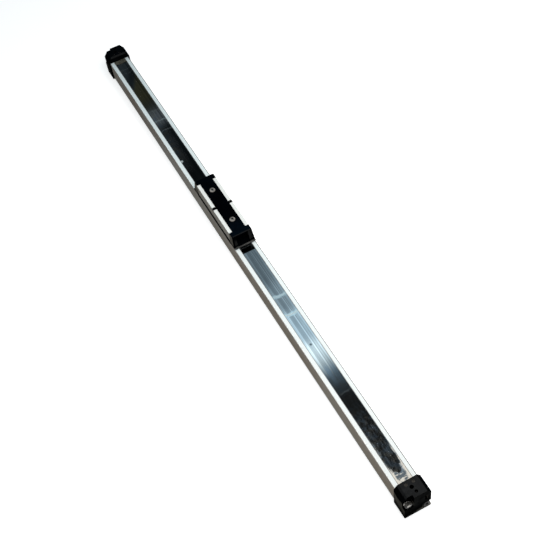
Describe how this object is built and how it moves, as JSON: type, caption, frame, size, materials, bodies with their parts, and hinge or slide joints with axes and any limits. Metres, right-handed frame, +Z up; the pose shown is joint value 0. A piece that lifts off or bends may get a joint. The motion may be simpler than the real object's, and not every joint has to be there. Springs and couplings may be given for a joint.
{
  "type": "rodless pneumatic cylinder",
  "caption": "Band-sealed rodless air cylinder: a square slotted barrel between black end caps, with a low carriage that slides along the top.",
  "frame": {"origin": "on the floor, under the middle of the barrel", "axes": "+X along the barrel towards the near end, +Z up, +Y across to complete a right-handed frame"},
  "size_m": [0.8742, 0.0342, 0.0526],
  "materials": {
    "barrel_aluminium": "clear anodised extrusion, faint lengthwise die lines",
    "carriage_aluminium": "clear anodised, milled rail tops",
    "piston_aluminium": "turned, hidden in the bore",
    "band_steel": "bright rolled stainless strip, lengthwise streaks and smudges",
    "cap_black": "black finished casting, satin, light dust",
    "cover_plastic": "black moulded plastic, fine grain",
    "wiper_plastic": "black moulded plastic, rubbed grey at the edges",
    "screw_steel": "plated steel, slightly dulled"
  },
  "bodies": {
    "cylinder": {"barrel": "barrel_aluminium", "outer_band": "band_steel", "inner_band": "band_steel", "end_cap_near": "cap_black", "end_cap_far": "cap_black", "tie_screw_near_upper": "screw_steel", "tie_screw_near_lower": "screw_steel", "tie_screw_far_upper": "screw_steel", "tie_screw_far_lower": "screw_steel", "band_screw_near_left": "screw_steel", "band_screw_near_right": "screw_steel", "band_screw_far_left": "screw_steel", "band_screw_far_right": "screw_steel", "cushion_needle_near": "screw_steel", "cushion_needle_far": "screw_steel"},
    "carriage": {"carriage_body": "carriage_aluminium", "carriage_cover": "cover_plastic", "slide_strip_left": "wiper_plastic", "slide_strip_right": "wiper_plastic", "wiper_near": "wiper_plastic", "wiper_far": "wiper_plastic", "cover_screw_near": "screw_steel", "cover_screw_far": "screw_steel", "piston": "piston_aluminium"}
  },
  "joints": [
    {"name": "carriage_slide", "type": "slide", "parent": "cylinder", "child": "carriage", "axis": [1, 0, 0], "range_m": [-0.309, 0.391]}
  ]
}
